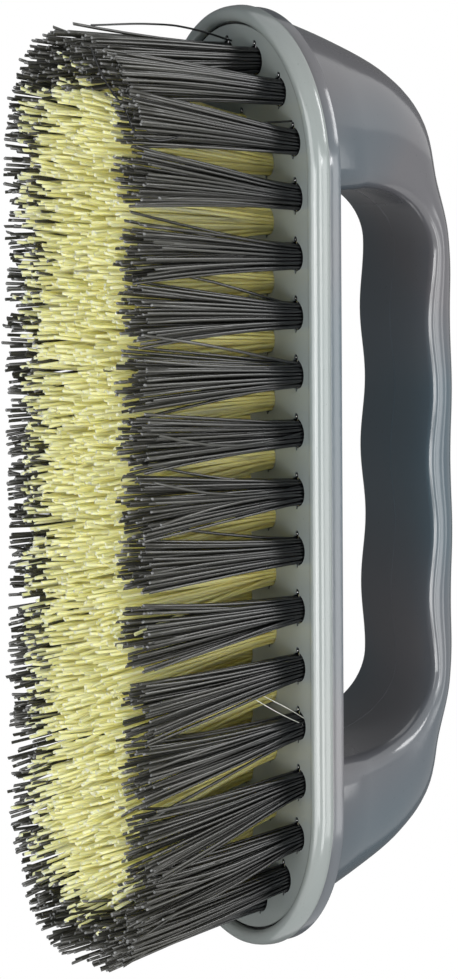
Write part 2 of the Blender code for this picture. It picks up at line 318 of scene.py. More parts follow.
class Nodes:
    """A short way to build the nodes of a material or of the world."""

    def __init__(self, owner, shader="Principled BSDF"):
        owner.use_nodes = True
        self.owner = owner
        self.tree = owner.node_tree
        self.shader = self.tree.nodes[shader]

    def add(self, kind, **values):
        node = self.tree.nodes.new(kind)
        for key, value in values.items():
            setattr(node, key, value)
        return node

    def feed(self, value, socket):
        """Links an output to a socket, or sets the socket to a plain value."""
        if isinstance(value, bpy.types.NodeSocket):
            self.tree.links.new(value, socket)
        else:
            socket.default_value = value

    def feed_shader(self, **values):
        for key, value in values.items():
            self.feed(value, self.shader.inputs[key.replace("_", " ")])

    def place(self):
        """The piece's own coordinates, in metres."""
        return self.add("ShaderNodeTexCoord").outputs["Object"]

    def noise(self, scale, detail):
        node = self.add("ShaderNodeTexNoise")
        for key, value in (("Vector", self.place()), ("Scale", scale), ("Detail", detail)):
            self.feed(value, node.inputs[key])
        return node.outputs["Fac"]

    def calc(self, operation, *values):
        node = self.add("ShaderNodeMath", operation=operation)
        for value, socket in zip(values, node.inputs):
            self.feed(value, socket)
        return node.outputs[0]

    def length(self, vector):
        node = self.add("ShaderNodeVectorMath", operation="LENGTH")
        self.feed(vector, node.inputs[0])
        return node.outputs["Value"]

    def span(self, factor, low, high, from_low, from_high):
        """Takes one range of values to another, and keeps to its ends."""
        node = self.add("ShaderNodeMapRange")
        for value, socket in zip((factor, from_low, from_high, low, high), node.inputs):
            self.feed(value, socket)
        return node.outputs["Result"]

    def ramp(self, factor, stops):
        """A colour ramp with (place, colour) stops."""
        stops = list(stops)
        node = self.add("ShaderNodeValToRGB")
        elements = node.color_ramp.elements
        while len(elements) < len(stops):
            elements.new(1.0)
        for element, (place, colour) in zip(elements, stops):
            element.position = place
            element.color = (*colour, 1)
        self.feed(factor, node.inputs["Fac"])
        return node.outputs["Color"]

    def mix(self, factor, a, b, blend="MIX"):
        """Mixes two colours. The node has sockets for other kinds too, so these go by number."""
        node = self.add("ShaderNodeMix", data_type="RGBA", blend_type=blend)
        for value, i in ((factor, 0), (a, 6), (b, 7)):
            self.feed(value, node.inputs[i])
        return node.outputs[2]

    def mix_shaders(self, factor, a, b):
        node = self.add("ShaderNodeMixShader")
        for value, socket in zip((factor, a, b), node.inputs):
            self.feed(value, socket)
        return node.outputs[0]

    def bump(self, height, strength, distance):
        node = self.add("ShaderNodeBump")
        for key, value in (("Height", height), ("Strength", strength), ("Distance", distance)):
            self.feed(value, node.inputs[key])
        self.feed(node.outputs["Normal"], self.shader.inputs["Normal"])


def new_material(name):
    return Nodes(bpy.data.materials.new(name))


# Finishes. Each noise is its scale and its detail, each range where it starts and ends.

DRIFT_NOISE = (22, 1.0)  # slow drift from cool to warm grey
DRIFT_RANGE = (0.36, 0.60)
SPECK_NOISE = (2600, 1.0)
SPECK_RANGE = (0.70, 0.80)
SPECK_SHADE = (0.80, 0.80, 0.80)
DULL_NOISE = (60, 3.0)  # where the gloss is duller
DULL_RANGE = (0.3, 0.7)
FLOW_NOISE = (420, 2.0)  # faint waves left by the moulding
FLOW_BUMP = (0.05, 0.0004)  # strength and height
WIRE_NOISE = (900, 2.0)
WIRE_RANGE = (0.4, 0.6)
WIRE_GREYS = ((0.62, 0.62, 0.64), (0.82, 0.82, 0.84))
RUN_RANGE = (0.10, 0.80)  # of a strand's length, where its colour changes from the painted shade at the root to the tip colour
LIGHTEST_TONE = (1.12, 1.12, 1.15)
SCATTER_SHARES = (1.0, 0.9, 0.5)  # how far red, green and blue scatter inside a strand
SCATTER_REACH = 0.0011
WHITE = (1, 1, 1)
# Painted shade in the holes, pits and crease of the block, where the colour drops to a small share
PAINTED_SHADE_RADII = (0.0226, 0.0230)  # from the middle line of the brush, from full painted shade to none
PAINTED_SHADE_HEIGHTS = (0.00003, 0.00030)  # above the face of the block, from no painted shade to full
PAINTED_SHADE_LEVEL = 0.08


def painted_hollow_shade(nodes, face):
    """1 on the open faces of the block, nearly 0 in its holes, pits and crease: painted shade for these
    hollows.
    """
    parts = nodes.add("ShaderNodeSeparateXYZ")
    nodes.feed(nodes.place(), parts.inputs[0])
    past = nodes.calc("SUBTRACT", nodes.calc("ABSOLUTE", parts.outputs["X"]), HALF_STRAIGHT)
    flat = nodes.add("ShaderNodeCombineXYZ")
    nodes.feed(nodes.calc("MAXIMUM", past, 0), flat.inputs["X"])
    nodes.feed(parts.outputs["Y"], flat.inputs["Y"])
    outside = nodes.span(nodes.length(flat.outputs[0]), 0, 1, *PAINTED_SHADE_RADII)
    heights = [face + height for height in PAINTED_SHADE_HEIGHTS]
    open_face = nodes.span(parts.outputs["Z"], 1, PAINTED_SHADE_LEVEL, *heights)
    return nodes.calc("MAXIMUM", outside, open_face)


def moulded_plastic(name, warm, cool, roughness, specular, face=None):
    """Glossy moulded plastic: slow drift from warm to cool grey, fine specks, faint flow waves, and
    painted shade in the hollows when a face height is given.
    """
    nodes = new_material(name)
    colour = nodes.ramp(nodes.noise(*DRIFT_NOISE), zip(DRIFT_RANGE, (cool, warm)))
    specks = nodes.ramp(nodes.noise(*SPECK_NOISE), zip(SPECK_RANGE, (WHITE, SPECK_SHADE)))
    colour = nodes.mix(1.0, colour, specks, "MULTIPLY")
    # painted shade: the block's holes, pits and crease are drawn darker
    if face is not None:
        colour = nodes.mix(1.0, colour, painted_hollow_shade(nodes, face), "MULTIPLY")
    dullness = nodes.span(nodes.noise(*DULL_NOISE), *roughness, *DULL_RANGE)
    nodes.feed_shader(Base_Color=colour, Roughness=dullness, Specular_IOR_Level=specular)
    nodes.bump(nodes.noise(*FLOW_NOISE), *FLOW_BUMP)
    return nodes.owner


def filament(name, root, tip, cut_end, darkest_tone, roughness, specular, scatter=0.0):
    """Round nylon: darker towards its root as painted shade where the strands pack close, a tone for
    each strand, another colour at the cut end.
    """
    nodes = new_material(name)
    run, tone, end = (
        nodes.add("ShaderNodeAttribute", attribute_name=key).outputs["Fac"]
        for key in ("run", "tone", "cut_end")
    )
    # painted shade: darker towards the root
    colour = nodes.ramp(run, zip(RUN_RANGE, (root, tip)))
    tones = nodes.ramp(tone, ((0.0, darkest_tone), (0.5, WHITE), (1.0, LIGHTEST_TONE)))
    colour = nodes.mix(1.0, colour, tones, "MULTIPLY")
    nodes.feed_shader(
        Base_Color=nodes.mix(end, colour, (*cut_end, 1)), Roughness=roughness,
        Specular_IOR_Level=specular, Subsurface_Weight=scatter,
        Subsurface_Radius=SCATTER_SHARES, Subsurface_Scale=SCATTER_REACH,
    )
    return nodes.owner


def bright_wire():
    nodes = new_material("bright_wire")
    colour = nodes.ramp(nodes.noise(*WIRE_NOISE), zip(WIRE_RANGE, WIRE_GREYS))
    nodes.feed_shader(Base_Color=colour, Metallic=1.0, Roughness=0.22)
    return nodes.owner


# Tuft block

LIP_STEPS = (
    # inwards, down: from the widest line of the lip, over its crest and into the crease
    (0.00003, 0.00060),
    (0.00008, 0.00053),
    (0.00015, 0.00045),
    (0.00026, 0.00036),
    (0.00039, 0.00027),
    (0.00044, 0.00013),
    (0.00042, -0.00004),
    (0.00036, -0.00015),
    (0.00027, -0.00028),
    (0.00015, -0.00036),
    (0.00006, -0.00040),
)
CREASE_DEPTH = 0.00052
CREASE_WIDTH = 0.00042
LIP_WIDEST = 0.0011  # above the face
JOINT_STEPS = (
    # inwards, up: from the widest line of the lip to the joint
    (0.00002, 0.00016),
    (0.00004, 0.00015),
    (0.00005, 0.00013),
    (0.00006, 0.00010),
)
CORE_EDGE = 0.0034  # from the widest line in to the side of the core
CORE_CHAMFER_RUN = 0.0030
CORE_CHAMFER_RISE = 0.0018
MOUTH_FLARE = 0.00012
HOLE_SIDES = 28
SLOT_REACH = 0.00050  # past the edge of the hole
SLOT_WIDTH = 0.00050
SLOT_DEPTH = 0.0016
SLOT_ROUND = 0.45  # of its width
PIT_RADIUS = 0.00056  # round pit where the driving tool struck, at the -X side of each hole
PIT_SETBACK = 0.00034  # its middle stands this far outside the hole
PIT_SIDES = 14
CUT_OVERRUN = 0.002
BLOCK_ROUGHNESS = (0.13, 0.20)
BLOCK_SPECULAR = 0.9


def stretched_circle(radius, height):
    """A stadium-shaped face: a filled circle whose halves are drawn apart."""
    deselect_all()
    bpy.ops.mesh.primitive_circle_add(
        vertices=STADIUM_SIDES, radius=radius, fill_type="NGON",
        location=(0, 0, height), rotation=(0, 0, math.pi / STADIUM_SIDES),
    )
    shape = settle(bpy.context.object)
    edit(shape)
    for side in (-1, 1):
        pick("VERT", lambda vert: vert.co.x * side > 0)
        bpy.ops.transform.translate(value=(side * HALF_STRAIGHT, 0, 0))
    return shape


def extrude_faces(offset):
    bpy.ops.mesh.extrude_region_move(TRANSFORM_OT_translate={"value": offset})


def step_face(inwards, outwards):
    """Draws the picked face in by one measure and out along its normal by another."""
    bpy.ops.mesh.inset(thickness=inwards, depth=outwards, use_even_offset=True)


def hole_cutter(settings, places):
    face = settings.face_height
    low = face - CUT_OVERRUN
    deselect_all()
    bpy.ops.mesh.primitive_cylinder_add(
        vertices=HOLE_SIDES, radius=settings.hole_radius, depth=settings.hole_depth,
        location=(0, 0, face + settings.hole_depth / 2),
    )
    hole = settle(bpy.context.object)
    edit(hole)
    pick("FACE", faces_down)
    flare = 1 + MOUTH_FLARE / settings.hole_radius
    bpy.ops.transform.translate(value=(0, 0, MOUTH_FLARE))
    extrude_faces((0, 0, -MOUTH_FLARE))
    bpy.ops.transform.resize(value=(flare, flare, 1))
    extrude_faces((0, 0, low - face))
    bpy.ops.object.mode_set(mode="OBJECT")
    return copies_joined(hole, places, "hole_cutters")


def slot_cutter(settings, places):
    length = 2 * (settings.hole_radius + SLOT_REACH)
    deselect_all()
    bpy.ops.mesh.primitive_cube_add(
        size=1, location=(0, 0, settings.face_height + (SLOT_DEPTH - CUT_OVERRUN) / 2),
        scale=(length, SLOT_WIDTH, SLOT_DEPTH + CUT_OVERRUN),
    )
    slot = settle(bpy.context.object)
    edit(slot)
    pick("EDGE", lambda edge: height_of(edge) > SLOT_DEPTH)
    bpy.ops.mesh.bevel(offset=SLOT_WIDTH * SLOT_ROUND, segments=3)
    bpy.ops.object.mode_set(mode="OBJECT")
    return copies_joined(slot, places, "slot_cutters")


def pit_cutter(settings, places):
    deselect_all()
    bpy.ops.mesh.primitive_cylinder_add(
        vertices=PIT_SIDES, radius=PIT_RADIUS, depth=SLOT_DEPTH + CUT_OVERRUN,
        location=(pit_place(settings), 0, settings.face_height + (SLOT_DEPTH - CUT_OVERRUN) / 2),
    )
    return copies_joined(settle(bpy.context.object), places, "pit_cutters")


def pit_place(settings):
    return -settings.hole_radius - PIT_SETBACK


def points_of(node):
    return np.array([vert.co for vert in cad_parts[node].data.vertices])


def root_of(node):
    """The middle of a tuft's root, read from the top of its CAD node."""
    points = points_of(node)
    top = points[points[:, 2] > points[:, 2].max() - FIT_GAP / 2]
    return top[:, :2].min(0) / 2 + top[:, :2].max(0) / 2


def tips_of(node):
    """The middle of a tuft's tips, read from the foot of its CAD node."""
    points = points_of(node)
    foot = points[points[:, 2] < points[:, 2].min() + FIT_GAP / 2]
    return foot[:, :2].mean(0)


def nodes_named(prefix):
    return sorted(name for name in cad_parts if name.startswith(prefix))


def middle_row():
    """Roots and tips of the middle row, which the CAD block carries: one more than the row beside it."""
    row = [name for name in nodes_named("yellow_tuft_") if root_of(name)[1] < 0]
    roots = [root_of(name) for name in row]
    tips = [tips_of(name) for name in row]
    xs = [root[0] for root in roots]
    pitch = (xs[-1] - xs[0]) / (len(xs) - 1)
    places = []
    for i in range(len(xs) + 1):
        x = pitch * (i - len(xs) / 2)
        lean = np.interp(x, xs, [tip[0] - root[0] for root, tip in zip(roots, tips)])
        places.append((np.array((x, 0.0)), np.array((x + lean, 0.0))))
    return places


def all_roots():
    roots = [root_of(name) for name in nodes_named("dark_tuft_") + nodes_named("yellow_tuft_")]
    return roots + [root for root, _ in middle_row()]


class SCRUB_BRUSH_OT_add_block(bpy.types.Operator):
    """Add the tuft block with its lip, recessed face, holes and slots"""

    bl_idname = "scrub_brush.add_block"
    bl_label = "Add Tuft Block"

    def execute(self, context):
        settings = context.scene.brush_block
        face = settings.face_height
        block = stretched_circle(LIP_RADIUS, face + LIP_WIDEST)
        bpy.ops.mesh.select_all(action="SELECT")
        extrude_faces((0, 0, FIT_GAP))
        bpy.ops.mesh.normals_make_consistent(inside=False)

        pick("FACE", faces_down)
        for inwards, down in LIP_STEPS:
            step_face(inwards, down)
        drop = sum(down for _, down in LIP_STEPS)
        step_face(CREASE_WIDTH / 4, LIP_WIDEST - drop - CREASE_DEPTH)
        step_face(CREASE_WIDTH / 4, 0)
        step_face(CREASE_WIDTH / 2, CREASE_DEPTH)

        pick("FACE", lambda plane: faces_up(plane) and is_broad(plane))
        for inwards, up in JOINT_STEPS:
            step_face(inwards, up)
        rise = FIT_GAP + sum(up for _, up in JOINT_STEPS)
        step_face(CORE_EDGE - sum(inwards for inwards, _ in JOINT_STEPS), 0)
        extrude_faces((0, 0, CORE_TOP - CORE_CHAMFER_RISE - face - LIP_WIDEST - rise))
        step_face(CORE_CHAMFER_RUN, CORE_CHAMFER_RISE)
        bpy.ops.object.mode_set(mode="OBJECT")

        places = [(x, y, 0) for x, y in all_roots()]
        for cutter in (hole_cutter, slot_cutter, pit_cutter):
            cut(block, cutter(settings, places))
        smooth(block)
        plastic = moulded_plastic(
            "block_plastic", settings.colour, settings.cool_colour,
            BLOCK_ROUGHNESS, BLOCK_SPECULAR, face,
        )
        finish_piece(block, "block_moulding", plastic, ["tuft_block"])
        return {"FINISHED"}


# Wire anchors

ANCHOR_THICKNESS = 0.00026
ANCHOR_HEIGHT = 0.0012
ANCHOR_SEAT = 0.00022  # below the face
ANCHOR_ROUND = 0.3  # of its thickness
BURR_RADIUS = 0.00016  # bright rolled end of the wire, in the pit
BURR_SIDES = 10
BURR_RINGS = 6


class SCRUB_BRUSH_OT_add_anchors(bpy.types.Operator):
    """Add the flat wire anchor across the root of each tuft"""

    bl_idname = "scrub_brush.add_anchors"
    bl_label = "Add Wire Anchors"

    def execute(self, context):
        settings = context.scene.brush_block
        length = 2 * settings.hole_radius
        deselect_all()
        bpy.ops.mesh.primitive_cube_add(
            size=1, location=(0, 0, settings.face_height + ANCHOR_SEAT + ANCHOR_HEIGHT / 2),
            scale=(length, ANCHOR_THICKNESS, ANCHOR_HEIGHT),
        )
        anchor = settle(bpy.context.object)
        edit(anchor)
        bpy.ops.mesh.select_all(action="SELECT")
        bpy.ops.mesh.bevel(offset=ANCHOR_THICKNESS * ANCHOR_ROUND, segments=2)
        bpy.ops.mesh.primitive_uv_sphere_add(
            segments=BURR_SIDES, ring_count=BURR_RINGS, radius=BURR_RADIUS,
            location=(pit_place(settings), 0, settings.face_height + BURR_RADIUS / 2),
        )
        bpy.ops.object.mode_set(mode="OBJECT")
        anchors = copies_joined(anchor, [(x, y, 0) for x, y in all_roots()], "wire_anchors")
        smooth(anchors)
        finish_piece(anchors, "wire_anchors", bright_wire())
        return {"FINISHED"}


# Handle body, whose loft follows the same rule as the solid that it replaces

GRIP_CLEARANCE = 0.0280  # the finger side above the face of the block
GRIP_TOP = 0.0357  # the back of the grip above that face
FOOT_SIDE_SETBACK = 0.0031  # from the side of the flange in to the foot
FOOT_END_SETBACK = 0.0024  # and from its end
OPENING_STRAIGHT = 0.0120  # above the face, where the corners of the opening begin
OPENING_CORNER = 0.0116  # how far a corner reaches along the brush
FINGERS = 3
HANDLE_SHIFT = 0.0018  # the grip stands this far towards -X
FINGER_EDGE_ROUND = 0.0014
FOOT_EDGE_ROUND = 0.0046
FINGER_CROWN = 0.0004
PARTING_WIDTH = 0.00013  # of the fine ridge that the mould left along the finger side
PARTING_PROUD = 0.00010
# Evenly spaced from the middle of the grip down to the foot: how far out and how high the back
# stands, how much of the way the width has gone to the foot's, and how deep the straight side is
BACK_REACH_SHARES = (0.0, 0.083, 0.165, 0.248, 0.333, 0.429, 0.536, 0.658, 0.776, 0.863, 0.936, 1.0)
BACK_HEIGHT_SHARES = (1.0, 1.0, 1.0, 1.0, 1.0, 0.995, 0.957, 0.882, 0.827, 0.640, 0.338, 0.0)
WIDTH_SHARES = (0.0, 0.0, 0.0, 0.0, 0.0, 0.01, 0.04, 0.10, 0.22, 0.40, 0.66, 1.0)
SIDE_SHARES = (0.12, 0.12, 0.12, 0.12, 0.12, 0.12, 0.12, 0.13, 0.14, 0.15, 0.16, 0.165)
DOME_STEPS = 16
EDGE_STEPS = 6
CROWN_STEPS = 5
CORNER_STEPS = 28
WAVE_STEPS = 24
STRAIGHT_STEPS = 4

FLANGE_HEIGHT = 0.0023
FLANGE_DRAFT = 0.00012  # the side of the flange leans out by this much on its way up
# Inwards, and up or down: over the two edges of the flange
FLANGE_TOP_STEPS = ((0.00003, 0.00014), (0.00009, 0.00011), (0.00014, 0.00006), (0.00012, 0.00002))
FLANGE_UNDER_STEPS = ((0.00002, 0.00007), (0.00006, 0.00005), (0.00008, 0.00002))
DECK_SHOULDER = 0.0100  # over this run the deck rises from the flange
DECK_WALL = 0.0015  # over the core of the block
DECK_STEPS = 6
POCKET_EDGE = 0.0037  # from the edge of the underside in to the pocket for that core
HANDLE_ROUGHNESS = (0.12, 0.18)
HANDLE_SPECULAR = 0.8


def spread(shares, place):
    """The value at this place, from 0 to 1, of a row of evenly spaced shares, smoothly joined."""
    last = len(shares) - 1
    i = min(int(place * last), last - 1)
    part = place * last - i
    before, a, b, after = (shares[min(max(k, 0), last)] for k in (i - 1, i, i + 1, i + 2))
    return 0.5 * (
        2 * a + (b - before) * part
        + (2 * before - 5 * a + 4 * b - after) * part**2
        + (3 * a - before - 3 * b + after) * part**3
    )


def finger_side(opening_length, finger_depth, foot_depth):
    """The finger side of one half of the loop, from the middle of the grip down to the deck."""
    pitch = (opening_length - 2 * OPENING_CORNER) / FINGERS
    crest_end = pitch * FINGERS / 2
    top = GRIP_CLEARANCE + finger_depth / 2
    points = []
    steps = WAVE_STEPS * FINGERS // 2
    for i in range(steps):
        x = crest_end * i / steps
        points.append((x, GRIP_CLEARANCE - finger_depth / 2 * math.cos(math.tau * x / pitch)))
    for i in range(CORNER_STEPS + 1):
        angle = math.pi / 2 * i / CORNER_STEPS
        points.append((
            crest_end + OPENING_CORNER * math.sin(angle),
            OPENING_STRAIGHT + (top - OPENING_STRAIGHT) * math.cos(angle),
        ))
    for i in range(STRAIGHT_STEPS):
        share = (i + 1) / STRAIGHT_STEPS
        points.append((opening_length / 2, OPENING_STRAIGHT + (foot_depth - OPENING_STRAIGHT) * share))
    return points


def loop_section(half_width, depth, edge_round, side_share):
    """(depth, across) points of one ring: parting ridge, crowned finger side, edges, domed back."""
    half = [(0.0, PARTING_WIDTH), (0.0, PARTING_WIDTH * 2)]
    flat = half_width - edge_round
    for i in range(1, CROWN_STEPS + 1):
        share = i / CROWN_STEPS
        half.append((FINGER_CROWN * share**2, PARTING_WIDTH * 2 + (flat - PARTING_WIDTH * 2) * share))
    for i in range(1, EDGE_STEPS + 1):
        angle = math.pi / 2 * i / EDGE_STEPS
        half.append((
            FINGER_CROWN + edge_round * (1 - math.cos(angle)),
            flat + edge_round * math.sin(angle),
        ))
    wall = FINGER_CROWN + edge_round
    dome = wall + (depth - wall) * side_share
    last_angle = math.pi / 2 * (DOME_STEPS - 0.5) / DOME_STEPS
    for i in range(DOME_STEPS):
        angle = last_angle * i / (DOME_STEPS - 1)
        rise = math.sin(angle) / math.sin(last_angle)
        half.append((dome + (depth - dome) * rise, half_width * math.cos(angle)))
    return [(-PARTING_PROUD, 0.0)] + half + [(along, -across) for along, across in reversed(half)]


def grip_loop(settings, face):
    """The D grip as a loft of rings, which no operator places, from one foot over to the other."""
    foot_depth = FLANGE_UNDERSIDE - face + FLANGE_HEIGHT / 2
    finger_half = finger_side(settings.opening_length, settings.finger_depth, foot_depth)
    last = len(finger_half) - 1
    foot_reach = HALF_LENGTH - FOOT_END_SETBACK
    foot_half_width = FLANGE_RADIUS - FOOT_SIDE_SETBACK
    rise = GRIP_TOP - foot_depth
    bm = bmesh.new()
    rings = []
    for i in range(-last, last + 1):
        side = -1 if i < 0 else 1
        place = abs(i) / last
        x_in, z_in = finger_half[abs(i)]
        x_out = foot_reach * spread(BACK_REACH_SHARES, place)
        z_out = foot_depth + rise * spread(BACK_HEIGHT_SHARES, place)
        foot_share = spread(WIDTH_SHARES, place)
        inner = Vector((side * x_in - HANDLE_SHIFT, 0, face + z_in))
        away = Vector((side * x_out - HANDLE_SHIFT, 0, face + z_out)) - inner
        section = loop_section(
            settings.half_width + (foot_half_width - settings.half_width) * foot_share,
            away.length,
            FINGER_EDGE_ROUND + (FOOT_EDGE_ROUND - FINGER_EDGE_ROUND) * foot_share,
            spread(SIDE_SHARES, place),
        )
        away.normalize()
        rings.append([
            bm.verts.new((inner.x + away.x * along, across, inner.z + away.z * along))
            for along, across in section
        ])
    for ring, following in zip(rings, rings[1:]):
        for j in range(len(ring)):
            k = (j + 1) % len(ring)
            bm.faces.new((ring[j], ring[k], following[k], following[j]))
    bm.faces.new(rings[0])
    bm.faces.new(rings[-1])
    mesh = bpy.data.meshes.new("grip_loop")
    bm.to_mesh(mesh)
    bm.free()
    loop = bpy.data.objects.new("grip_loop", mesh)
    bpy.context.scene.collection.objects.link(loop)
    edit(loop)
    bpy.ops.mesh.select_all(action="SELECT")
    bpy.ops.mesh.normals_make_consistent(inside=False)
    bpy.ops.object.mode_set(mode="OBJECT")
    return loop


def deck(face):
    """Flange and deck: a stadium face stepped in and up, hollow below for the core of the block."""
    top_rise = sum(up for _, up in FLANGE_TOP_STEPS)
    under_drop = sum(down for _, down in FLANGE_UNDER_STEPS)
    side = FLANGE_HEIGHT - top_rise - under_drop
    shape = stretched_circle(FLANGE_RADIUS, FLANGE_UNDERSIDE + under_drop + side)
    bpy.ops.mesh.select_all(action="SELECT")
    extrude_faces((0, 0, top_rise / 2))
    bpy.ops.mesh.normals_make_consistent(inside=False)
    pick("FACE", faces_down)
    step_face(FLANGE_DRAFT, side)
    for inwards, down in FLANGE_UNDER_STEPS:
        step_face(inwards, down)
    pick("FACE", faces_up)
    bpy.ops.transform.translate(value=(0, 0, -top_rise / 2))
    for inwards, up in FLANGE_TOP_STEPS:
        step_face(inwards, up)
    climb = CORE_TOP + FIT_GAP + DECK_WALL - FLANGE_UNDERSIDE - FLANGE_HEIGHT
    for i in range(DECK_STEPS):
        low, high = (math.sin(math.pi / 2 * k / DECK_STEPS) for k in (i, i + 1))
        step_face(DECK_SHOULDER / DECK_STEPS, climb * (high - low))
    pick("FACE", lambda plane: faces_down(plane) and is_broad(plane))
    step_face(POCKET_EDGE, 0)
    extrude_faces((0, 0, CORE_TOP - CORE_CHAMFER_RISE + FIT_GAP - FLANGE_UNDERSIDE))
    step_face(CORE_CHAMFER_RUN, -CORE_CHAMFER_RISE)
    bpy.ops.object.mode_set(mode="OBJECT")
    return shape


class SCRUB_BRUSH_OT_add_handle(bpy.types.Operator):
    """Add the handle body: flange, deck and D grip in one moulding"""

    bl_idname = "scrub_brush.add_handle"
    bl_label = "Add Handle Body"

    def execute(self, context):
        settings = context.scene.brush_handle
        face = context.scene.brush_block.face_height
        body = deck(face)
        cut(body, grip_loop(settings, face), "UNION")
        smooth(body)
        plastic = moulded_plastic(
            "handle_plastic", settings.colour, settings.cool_colour,
            HANDLE_ROUGHNESS, HANDLE_SPECULAR,
        )
        finish_piece(body, "handle_moulding", plastic, ["handle_body"])
        return {"FINISHED"}


# Tufts

STRAND_SIDES = 5
RING_SHARES = (-0.11, 0.0, 0.10, 0.26, 0.45, 0.65, 0.84, 1.0)  # of the free length, from the face down
WIRE_CLEARANCE = 0.00042  # the middle of a strand keeps this far from the middle of the wire
FAN_POWER = 1.2  # a strand's way out grows by this power of its length
LEAN_BEND = 0.10  # a leaning tuft leaves its hole at a slant and straightens
LOOSE_SHARE = 0.09  # of the strands, which stray further than the rest
LOOSE_SPREAD = (1.2, 1.9)  # how much further
FAN_SHAPE = (1.08, 0.92)  # wider along the rows than across them
FIELD_RADIUS = 0.0233  # the trimmed tips hardly stand out past a stadium of this radius
FIELD_ENDS = (-0.0507, 0.0535)  # between whose centres it runs
FIELD_SIDE = -0.0010  # and this far to the near side
WORN_FROM = 0.0185  # past this the near edge of the field is worn shorter
WORN_SLOPE = 0.28  # by this much for each metre past it
FIELD_OVERSHOOT = 0.25  # share of what a tip stands out past the field that is left
CLUMPS = 6  # groups in one tuft whose strands lean together
RAGGED_SHAPE = 1.5  # of the gamma draw of how much shorter a strand is cut
MAX_SHORTFALL = 0.0028
SHARP_CUT = math.radians(80)
# Standard deviations of the random draws
CLUMP_LEAN = 0.00050
TUFT_LEAN = (0.00060, 0.00035)  # along and across the brush
TIP_SCATTER = 0.00028
BOW = 0.00016
LOOSE_BOW = 0.00060
CUT_SLANT = 0.35


def model_strand(radius):
    """One straight strand of unit length, root at 0 and tip at 1, with a ring at each share."""
    deselect_all()
    bpy.ops.mesh.primitive_cylinder_add(
        vertices=STRAND_SIDES, radius=radius, depth=1, end_fill_type="NGON", location=(0, 0, 0.5),
    )
    strand = settle(bpy.context.object)
    edit(strand)
    pick("EDGE", lambda edge: height_of(edge) > 0.5)
    bpy.ops.mesh.subdivide(number_cuts=len(RING_SHARES) - 2)
    bpy.ops.object.mode_set(mode="OBJECT")
    mesh = strand.data
    points = np.array([vert.co for vert in mesh.vertices])
    ring = np.rint(points[:, 2] * (len(RING_SHARES) - 1)).astype(int)
    faces = [tuple(face.vertices) for face in mesh.polygons]
    tip = [all(ring[v] == len(RING_SHARES) - 1 for v in face) for face in faces]
    bpy.data.objects.remove(strand, do_unlink=True)
    return {"across": points[:, :2], "ring": ring, "faces": faces, "tip": tip}


def packed_roots(pitch, radius, hole_radius):
    """Strand centres in a hole: two halves of a hexagonal packing, one on each side of the wire."""
    reach = hole_radius - radius
    places = []
    row = 0
    y = WIRE_CLEARANCE
    while y < reach:
        half = math.sqrt(reach**2 - y**2)
        count = int(2 * half / pitch) + 1
        if count % 2 == row % 2:
            count -= 1
        xs = [pitch * (i - (count - 1) / 2) for i in range(count)]
        places += [(x, side * y) for side in (-1, 1) for x in xs]
        row += 1
        y += pitch * math.sqrt(3) / 2
    return np.array(places)


def trimmed(ends):
    """The tips, drawn in to the stadium that the brush is trimmed to."""
    middle = np.stack([np.clip(ends[:, 0], *FIELD_ENDS), np.full(len(ends), FIELD_SIDE)], axis=1)
    away = ends - middle
    distance = np.linalg.norm(away, axis=1, keepdims=True)
    past = np.maximum(distance - FIELD_RADIUS, 0)
    return middle + away * (1 - past * (1 - FIELD_OVERSHOOT) / np.maximum(distance, FIELD_RADIUS))


def strand_paths(roots, root, tips, fan, ring_shares, settings, rng):
    """The middle lines of a tuft's strands, how much shorter each is cut, its tone, its cut's slant."""
    count = len(roots)
    loose = rng.random(count) < LOOSE_SHARE
    spreading = np.where(loose, rng.uniform(*LOOSE_SPREAD, count), 1.0)[:, None]
    heads = roots[rng.choice(count, CLUMPS, replace=False)]
    clump = np.linalg.norm(roots[:, None] - heads[None], axis=2).argmin(1)
    leans = rng.normal(0, CLUMP_LEAN, (CLUMPS, 2))[clump] + rng.normal(0, TUFT_LEAN)
    ends = tips + roots / np.abs(roots).max() * fan * spreading * FAN_SHAPE + leans
    ends = trimmed(ends + rng.normal(0, TIP_SCATTER, (count, 2)))
    bows = rng.normal(0, 1, (count, 2)) * np.where(loose, LOOSE_BOW, BOW)[:, None]
    shortfall = rng.gamma(RAGGED_SHAPE, settings.raggedness / RAGGED_SHAPE, count)
    shortfall = np.minimum(shortfall, MAX_SHORTFALL)
    shortfall += np.maximum(-ends[:, 1] - WORN_FROM, 0) * WORN_SLOPE
    tones = rng.random(count)
    slants = rng.normal(0, CUT_SLANT, (count, 2))

    starts = root + roots
    paths = starts[:, None, :] + (ends - starts)[:, None, :] * (ring_shares**FAN_POWER)[None, :, None]
    bows += (tips - root) * LEAN_BEND
    paths += bows[:, None, :] * np.sin(math.pi * ring_shares)[None, :, None]
    return paths, shortfall, tones, slants


